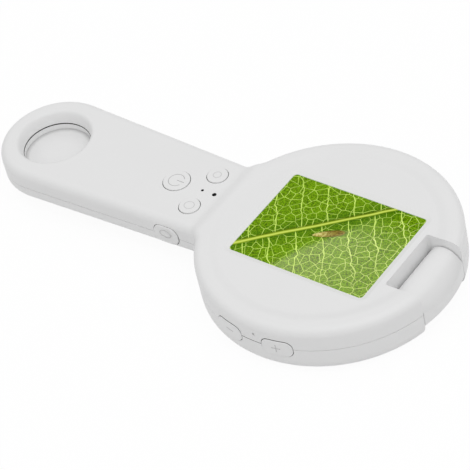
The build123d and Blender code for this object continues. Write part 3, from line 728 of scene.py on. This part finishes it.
def floor_paper():
    """White paper that shows white, with the object's shadow faintly on it."""
    finish = Finish("stage_paper")
    finish.set(base_color=finish.mix(finish.noise(0.05), (0.75, 0.75, 0.75), (0.77, 0.77, 0.77)),
               roughness=0.9)
    white = finish.node("ShaderNodeEmission", None, {"Color": (1, 1, 1), "Strength": PAPER_WHITE})
    seen = finish.node("ShaderNodeLightPath")
    share = Value(finish, seen.outputs["Is Camera Ray"]).math(
        "MAXIMUM", Value(finish, seen.outputs["Is Glossy Ray"])) * PAPER_SHARE
    both = finish.node("ShaderNodeMixShader", None, [share, finish.shader.outputs[0], white.outputs[0]])
    finish.tree.links.new(both.outputs[0], finish.output.inputs["Surface"])
    return finish.material


def light_world(scene, level):
    """Soft light from all round, stronger from above, plain white where the camera looks past the floor."""
    world = bpy.data.worlds.new("stage_sky")
    scene.world = world
    world.use_nodes = True
    tree = world.node_tree
    background = tree.nodes["Background"]
    seen = tree.nodes.new("ShaderNodeLightPath")
    choose = tree.nodes.new("ShaderNodeMix")
    tree.links.new(seen.outputs["Is Camera Ray"], choose.inputs[0])
    parts = tree.nodes.new("ShaderNodeSeparateXYZ")
    tree.links.new(tree.nodes.new("ShaderNodeTexCoord").outputs["Generated"], parts.inputs[0])
    grade = tree.nodes.new("ShaderNodeMapRange")
    tree.links.new(parts.outputs["Z"], grade.inputs["Value"])
    grade.inputs["To Min"].default_value = level * SKY_HORIZON
    grade.inputs["To Max"].default_value = level * SKY_ZENITH
    tree.links.new(grade.outputs[0], choose.inputs[2])
    choose.inputs[3].default_value = 1.0
    tree.links.new(choose.outputs[0], background.inputs["Strength"])
    background.inputs["Color"].default_value = (1, 1, 1, 1)


def camera_axes(stage):
    """The camera's right, up and backward directions."""
    a, e = stage.azimuth, stage.elevation
    back = Vector((math.sin(a) * math.cos(e), -math.cos(a) * math.cos(e), math.sin(e)))
    right = Vector((math.cos(a), math.sin(a), 0))
    up = back.cross(right)
    turned = math.cos(stage.roll) * right + math.sin(stage.roll) * up
    return turned, -math.sin(stage.roll) * right + math.cos(stage.roll) * up, back


def add_camera(scene, stage):
    """The camera, with its place, zoom and roll as set."""
    right, up, back = camera_axes(stage)
    bpy.ops.object.camera_add()
    camera = bpy.context.object
    camera.name = "stage_camera"
    camera.data.sensor_width = 36
    camera.data.lens = stage.lens
    camera.data.clip_start = 0.01
    place = Vector(LOOK_AT) + back * stage.distance
    turn = Matrix((right, up, back)).transposed()
    camera.matrix_world = Matrix.Translation(place) @ turn.to_4x4()
    scene.camera = camera


def add_glare_card(scene, stage):
    """A bright card above the far side that only reflections see, placed so that the screen mirrors it."""
    eye = scene.camera.matrix_world.translation
    mirrored = Vector((eye.x, eye.y, 2 * GLASS_TOP - eye.z))
    begin()
    bpy.ops.mesh.primitive_circle_add(vertices=len(GLARE_PATCH), fill_type="NGON")
    card = bpy.context.object
    card.name = "stage_card"
    for corner, (px, py) in zip(card.data.vertices, GLARE_PATCH):
        on_screen = Vector((HEAD_X + px * MM, py * MM, GLASS_TOP))
        corner.co = on_screen + (on_screen - mirrored) * GLARE_REACH
    finish = Finish("stage_card_light")
    x, y, _ = finish.axes()
    # the spot of the screen that mirrors this spot of the card
    spot_x = (x + mirrored.x * GLARE_REACH / MM) / (1 + GLARE_REACH) - HEAD_X / MM
    spot_y = (y + mirrored.y * GLARE_REACH / MM) / (1 + GLARE_REACH)
    level = spot_y.fades(*GLARE_FADE_Y) * (spot_x.fades(*GLARE_FADE_X) * 0.4 + 0.6)
    glow = finish.node("ShaderNodeEmission", None,
                       {"Color": GLARE_COLOUR, "Strength": level * stage.glare_level})
    finish.tree.links.new(glow.outputs[0], finish.output.inputs["Surface"])
    card.data.materials.append(finish.material)
    card.visible_camera = False
    card.visible_diffuse = False
    card.visible_shadow = False
    card.visible_transmission = False
    seen_by = bpy.data.collections.new("stage_card_seen_by")
    seen_by.objects.link(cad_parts["cover_glass"])
    card.light_linking.receiver_collection = seen_by


# ---------------------------------------------------------------- operators
class MICROSCOPE_OT_shells(bpy.types.Operator):
    """Finish the two shells and the stand in moulded white plastic"""
    bl_idname = "microscope.shells"
    bl_label = "Shells and stand"

    def execute(self, context):
        look = context.scene.microscope_housing
        look = (look.shell_colour[:], look.roughness, look.grain_size)
        paint(["top_shell"], moulded("top_shell_white", *look, relief=crown_ring))
        # the bottom shell carries painted shadow in the corner of the finger eye
        paint(["bottom_shell"], moulded("bottom_shell_white", *look, shade=eye_corner_painted_shadow))
        paint(["stand"], moulded("stand_white", *look, relief=nose_round))
        return {"FINISHED"}


class MICROSCOPE_OT_screen(bpy.types.Operator):
    """Put the lit leaf picture behind the glossy window and finish the display's parts"""
    bl_idname = "microscope.screen"
    bl_label = "Screen"

    def execute(self, context):
        paint(["cover_glass"], leaf_picture("screen_picture", context.scene.microscope_picture))
        paint(["lcd_panel"], moulded("panel_black", (0.02, 0.022, 0.02), 0.2, 0.0004))
        paint(["backlight_frame"], metal("tray_steel", (0.6, 0.6, 0.61), 0.35))
        return {"FINISHED"}


class MICROSCOPE_OT_buttons(bpy.types.Operator):
    """Finish the push buttons"""
    bl_idname = "microscope.buttons"
    bl_label = "Buttons"

    def execute(self, context):
        look = context.scene.microscope_housing
        look = (look.button_colour[:], look.roughness - 0.04, look.grain_size)
        # the caps carry painted shade on their sides, where they sit in their openings
        paint(["power_button", "photo_button", "record_button"],
              moulded("top_cap_white", *look, shade=top_cap_gap_shade))
        paint(["minus_button", "plus_button"], moulded("rim_cap_white", *look, shade=rim_cap_gap_shade))
        paint(["side_button"], moulded("side_cap_white", *look, shade=side_cap_gap_shade))
        return {"FINISHED"}


class MICROSCOPE_OT_top_marks(bpy.types.Operator):
    """Signs on the three round buttons: a power sign, a large ring and a small ring"""
    bl_idname = "microscope.top_marks"
    bl_label = "Signs on the handle top"

    def execute(self, context):
        marks = context.scene.microscope_marks
        grey = moulded("mark_grey", marks.colour[:], 0.5, 0.0004)
        pale = moulded("mark_pale", tint(marks.colour[:], 1.3), 0.5, 0.0004)
        thick = 4 * marks.proud
        x, y, _ = node_centre("power_button")
        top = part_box("power_button")[1][2] - thick / 2 + marks.proud
        ring = arc((x, y, top), POWER_RING, marks.stroke, thick, POWER_GAP, 2 * (math.pi - POWER_GAP))
        stem = bar((x + POWER_STEM_OUT, y, top), POWER_STEM, marks.stroke, thick)
        joined(ring, stem)
        settle("power_mark", grey, "power_button")

        x, y, _ = node_centre("photo_button")
        loop((x, y, top), PHOTO_RING, marks.stroke, thick, stretch=PHOTO_STRETCH)
        settle("photo_mark", pale, "photo_button")

        x, y, _ = node_centre("record_button")
        loop((x, y, top), RECORD_RING, marks.stroke, thick)
        settle("record_mark", pale, "record_button")
        return {"FINISHED"}


class MICROSCOPE_OT_wall_marks(bpy.types.Operator):
    """Signs on the buttons in the wall: a ring, a minus and a plus"""
    bl_idname = "microscope.wall_marks"
    bl_label = "Signs on the walls"

    def execute(self, context):
        marks = context.scene.microscope_marks
        grey = moulded("wall_mark_grey", marks.colour[:], 0.5, 0.0004)
        thick = 4 * marks.proud
        x, _, z = node_centre("side_button")
        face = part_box("side_button")[0][1]
        loop((x, face + thick / 2 - marks.proud, z + SIDE_RING_UP), SIDE_RING, marks.stroke, thick,
             (math.pi / 2, 0, 0), SIDE_STRETCH)
        settle("side_mark", moulded("side_mark_grey", tint(marks.colour[:], 1.2), 0.5, 0.0004),
               "side_button")
        for name, arms in (("minus", (0,)), ("plus", (0, math.pi / 2))):
            bx, by, bz = node_centre(name + "_button")
            angle = math.atan2(by, bx - HEAD_X)
            out = HEAD_RADIUS + RIM_CAP_PROUD - thick / 2 + marks.proud
            centre = (HEAD_X + out * math.cos(angle), out * math.sin(angle), bz - RIM_STROKE_DOWN)
            strokes = []
            for arm in arms:
                strokes.append(bar(centre, RIM_STROKE, marks.stroke, thick))
                strokes[-1].rotation_mode = "QUATERNION"
                strokes[-1].rotation_quaternion = rim_turn(angle, arm)
            if len(strokes) > 1:
                joined(*strokes)
            settle(name + "_mark", grey, name + "_button")
        return {"FINISHED"}


class MICROSCOPE_OT_eye_seam_shadow_ring(bpy.types.Operator):
    """A black ring in the seam inside the finger eye, a dark piece that stands in for the shadow in the seam
    """
    bl_idname = "microscope.eye_gasket"
    bl_label = "Ring in the finger eye"

    def execute(self, context):
        low, high = EYE_SEAM
        loop((EYE_X, 0, (low + high) / 2), EYE_RADIUS + SHADOW_RING_OUT, SHADOW_RING_WIDTH,
             high - low + SHADOW_RING_SQUEEZE)
        settle("eye_gasket", rubbery("seam_shadow_black", (0.01, 0.01, 0.01)), "housing")
        return {"FINISHED"}


class MICROSCOPE_OT_rim_seam_shadow(bpy.types.Operator):
    """A dark web in the seam between the two buttons of the rim, a dark piece that stands in for the shadow
    in the seam
    """
    bl_idname = "microscope.rim_web"
    bl_label = "Web between the rim buttons"

    def execute(self, context):
        arc((HEAD_X, 0, SEAM_Z), HEAD_RADIUS - WEB_IN, WEB_WIDTH, WEB_HEIGHT,
            RIM_CAP_MIDDLE - RIM_CAP_GAP / 2, RIM_CAP_GAP)
        settle("rim_web", rubbery("seam_web_black", (0.04, 0.04, 0.04)), "housing")
        return {"FINISHED"}


class MICROSCOPE_OT_hole_shadow_liners(bpy.types.Operator):
    """Black liners in the light hole and the sound hole, each with a ring halfway down: dark pieces that
    stand in for the shade inside the holes
    """
    bl_idname = "microscope.hole_liners"
    bl_label = "Liners of the small holes"

    def execute(self, context):
        top = HANDLE_TOP - LINER_BELOW
        tubes = []
        for x, radius in HOLES:
            tubes.append(loop((x, 0, top - LINER_HEIGHT / 2), radius - LINER_WALL / 2, LINER_WALL,
                              LINER_HEIGHT))
            tubes.append(loop((x, 0, top - LINER_RING_DOWN), radius * 0.5, radius * 0.9, LINER_RING))
        joined(*tubes)
        settle("hole_liners", moulded("hole_shadow_black", (0.05, 0.05, 0.05), 0.5, 0.0003),
               "housing")
        return {"FINISHED"}


class MICROSCOPE_OT_objective(bpy.types.Operator):
    """Finish the objective and the ring light in the underside"""
    bl_idname = "microscope.objective"
    bl_label = "Objective and ring light"

    def execute(self, context):
        paint(["lens_holder", "lens_barrel"], moulded("lens_black", (0.02, 0.02, 0.021), 0.45, 0.0005))
        paint(["front_lens", "rear_lens"], clear("lens_glass", (0.75, 0.82, 0.9), 0.03, 0.35))
        paint(["light_board"], soldered_board("board_white", (0.72, 0.72, 0.69), (0.8, 0.72, 0.45)))
        paint(["light_leds", "status_led"], moulded("led_resin", (0.82, 0.76, 0.42), 0.25, 0.0004))
        paint(["light_diffuser"], moulded("diffuser_milk", (0.8, 0.8, 0.79), 0.6, 0.0003))
        # the light pipe is made near black as painted shade, so that its hole reads dark
        paint(["light_pipe"], moulded("pipe_shadow_black", (0.006, 0.006, 0.007), 0.35, 0.0003))
        return {"FINISHED"}


class MICROSCOPE_OT_electronics(bpy.types.Operator):
    """Finish the boards, switches, battery and wiring inside"""
    bl_idname = "microscope.electronics"
    bl_label = "Electronics"

    def execute(self, context):
        paint(["main_board", "button_board"],
              soldered_board("board_green", (0.02, 0.14, 0.06), (0.8, 0.62, 0.3)))
        paint(["board_chips", "image_sensor"], moulded("chip_black", (0.018, 0.018, 0.02), 0.55, 0.0006))
        paint(["battery"], pouch("cell_foil", (0.62, 0.62, 0.64)))
        paint(["top_switches", "side_switch", "rim_switches", "reset_switch"],
              metal("switch_steel", (0.56, 0.56, 0.57), 0.3))
        paint(["microphone", "usb_port", "card_socket"], metal("socket_steel", (0.63, 0.63, 0.65), 0.28))
        paint(["microphone_boot"], rubbery("boot_rubber", (0.03, 0.03, 0.03)))
        paint(["ribbon_connectors"], moulded("connector_cream", (0.68, 0.62, 0.47), 0.5, 0.0005))
        paint(["button_ribbon"], moulded("ribbon_film", (0.42, 0.19, 0.04), 0.3, 0.0008))
        paint(["battery_leads"], rubbery("lead_red", (0.42, 0.02, 0.02)))
        return {"FINISHED"}


class MICROSCOPE_OT_fasteners(bpy.types.Operator):
    """Finish the screws, the hinge pin and the rubber plugs"""
    bl_idname = "microscope.fasteners"
    bl_label = "Fasteners"

    def execute(self, context):
        paint(["shell_screws", "board_screws"], metal("screw_steel", (0.5, 0.5, 0.51), 0.35, (20, 20, 1)))
        paint(["hinge_pin"], metal("pin_steel", (0.62, 0.62, 0.63), 0.2, (30, 1, 30)))
        paint(["friction_sleeves"], moulded("sleeve_acetal", (0.1, 0.1, 0.1), 0.4, 0.0005))
        paint(["foot_plugs", "stand_pad"], rubbery("plug_rubber", (0.56, 0.56, 0.56)))
        return {"FINISHED"}


class MICROSCOPE_OT_stage(bpy.types.Operator):
    """Pale floor, soft light and the camera"""
    bl_idname = "microscope.stage"
    bl_label = "Stage"

    def execute(self, context):
        stage = context.scene.microscope_stage
        begin()
        bpy.ops.mesh.primitive_plane_add(size=FLOOR_SIZE, location=(0, 0, CAD_LOW[2] - FLOOR_DROP))
        floor = bpy.context.object
        floor.name = "stage_floor"
        floor.data.materials.append(floor_paper())
        light_world(context.scene, stage.sky_level)
        bpy.ops.object.light_add(type="AREA", location=KEY_AT)
        lamp = bpy.context.object
        lamp.name = "key_lamp"
        lamp.data.energy = stage.key_power
        lamp.data.size = KEY_SIZE
        lamp.rotation_euler = Vector(KEY_AT).to_track_quat("Z", "Y").to_euler()
        context.scene.view_settings.view_transform = "Standard"
        add_camera(context.scene, stage)
        add_glare_card(context.scene, stage)
        return {"FINISHED"}


class MICROSCOPE_PT_panel(bpy.types.Panel):
    """Lists the steps that finish the microscope"""
    bl_idname = "MICROSCOPE_PT_panel"
    bl_label = "Microscope"
    bl_space_type = "VIEW_3D"
    bl_region_type = "UI"
    bl_category = "Microscope"

    def draw(self, context):
        for step in STEPS:
            self.layout.operator(step.bl_idname)
        for name in SETTINGS:
            box = self.layout.box()
            group = getattr(context.scene, name)
            for key in group.bl_rna.properties.keys():
                if key not in ("rna_type", "name"):
                    box.prop(group, key)


STEPS = (MICROSCOPE_OT_shells, MICROSCOPE_OT_screen, MICROSCOPE_OT_buttons, MICROSCOPE_OT_top_marks,
         MICROSCOPE_OT_wall_marks, MICROSCOPE_OT_eye_seam_shadow_ring, MICROSCOPE_OT_rim_seam_shadow,
         MICROSCOPE_OT_hole_shadow_liners, MICROSCOPE_OT_objective, MICROSCOPE_OT_electronics,
         MICROSCOPE_OT_fasteners, MICROSCOPE_OT_stage)
SETTINGS = {"microscope_housing": HousingSettings, "microscope_picture": PictureSettings,
            "microscope_marks": MarkSettings, "microscope_stage": StageSettings}


def register():
    """Make the settings, steps and panel known, and hang the settings on the scene."""
    for group in SETTINGS.values():
        bpy.utils.register_class(group)
    for step in STEPS:
        bpy.utils.register_class(step)
    bpy.utils.register_class(MICROSCOPE_PT_panel)
    for name, group in SETTINGS.items():
        setattr(bpy.types.Scene, name, bpy.props.PointerProperty(type=group))


def unregister():
    """Take back all that register did."""
    for name in SETTINGS:
        delattr(bpy.types.Scene, name)
    bpy.utils.unregister_class(MICROSCOPE_PT_panel)
    for step in reversed(STEPS):
        bpy.utils.unregister_class(step)
    for group in reversed(list(SETTINGS.values())):
        bpy.utils.unregister_class(group)


def main():
    """Run every step in order."""
    register()
    for step in STEPS:
        group, name = step.bl_idname.split(".")
        getattr(getattr(bpy.ops, group), name)()


if __name__ == "__main__":
    main()
